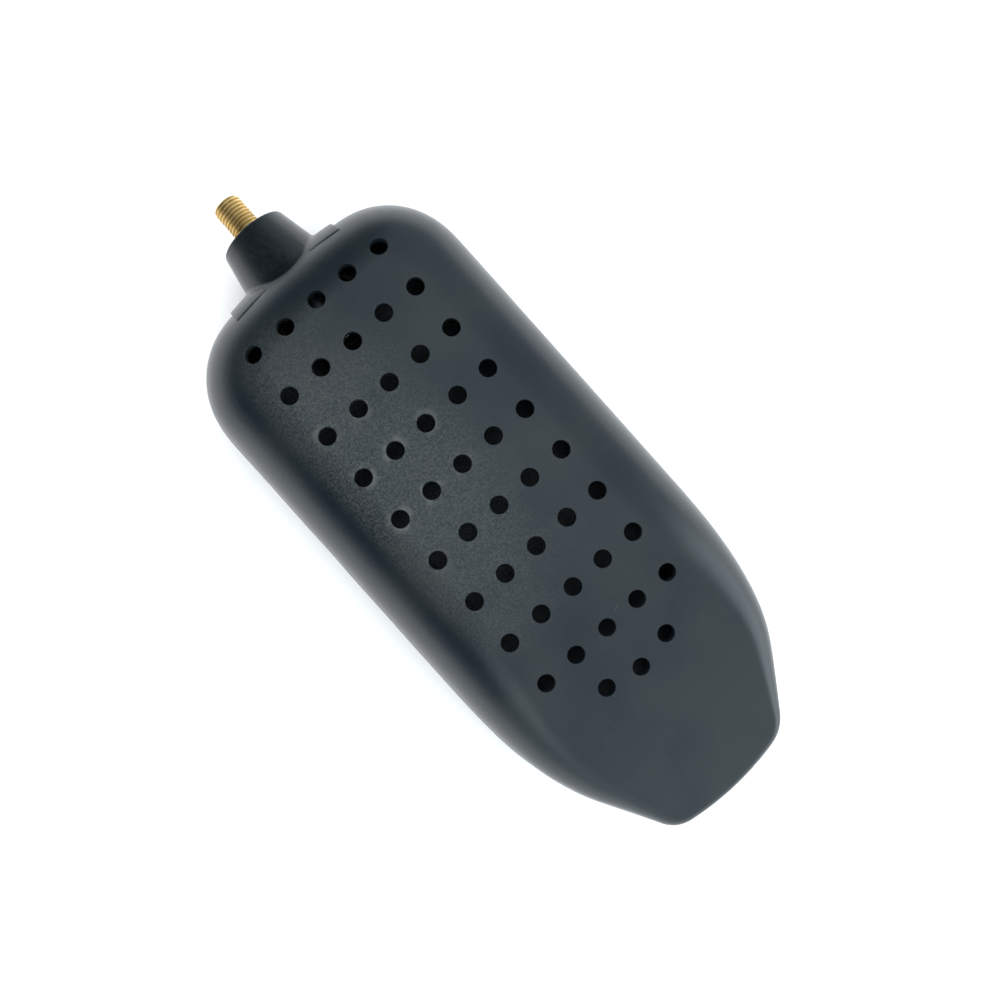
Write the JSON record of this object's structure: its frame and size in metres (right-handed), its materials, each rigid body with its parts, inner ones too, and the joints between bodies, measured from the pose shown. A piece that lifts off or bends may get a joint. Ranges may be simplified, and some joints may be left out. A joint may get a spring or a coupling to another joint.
{
  "type": "foot valve",
  "caption": "Flat strainer body in two half shells, perforated on its front, with a tapering tail, a conical neck, a hollow threaded brass outlet nipple and a check valve inside the neck.",
  "frame": {"origin": "bottom centre of the whole valve's box, with the valve lying on its back face", "axes": "+Y along the flow, from the tail lip to the outlet nipple; +Z out of the front face; +X across the body"},
  "size_m": [0.1, 0.254, 0.046],
  "materials": {
    "black_plastic": "satin",
    "brass": "satin",
    "white_acetal": "satin",
    "black_rubber": "matte",
    "stainless_steel": "satin"
  },
  "bodies": {
    "valve_body": {"front_shell": "black_plastic", "back_shell": "black_plastic", "neck_housing": "black_plastic", "neck_ring_nut": "brass", "neck_washer": "stainless_steel", "outlet_nipple": "brass", "nipple_seal": "black_rubber", "return_spring": "stainless_steel", "seat_gasket": "black_rubber", "seat_ring": "brass", "guide_spider": "white_acetal", "retaining_ring": "stainless_steel"},
    "poppet_assembly": {"poppet": "white_acetal", "poppet_seal": "black_rubber", "seal_washer": "brass", "poppet_nut": "brass", "stem_clip": "stainless_steel"}
  },
  "joints": [
    {"name": "poppet_lift", "type": "slide", "parent": "valve_body", "child": "poppet_assembly", "axis": [0, 1, 0], "range_m": [0, 0.004], "stiffness_N_per_m": 150, "springref_m": -0.004, "deforming": ["return_spring"]}
  ]
}
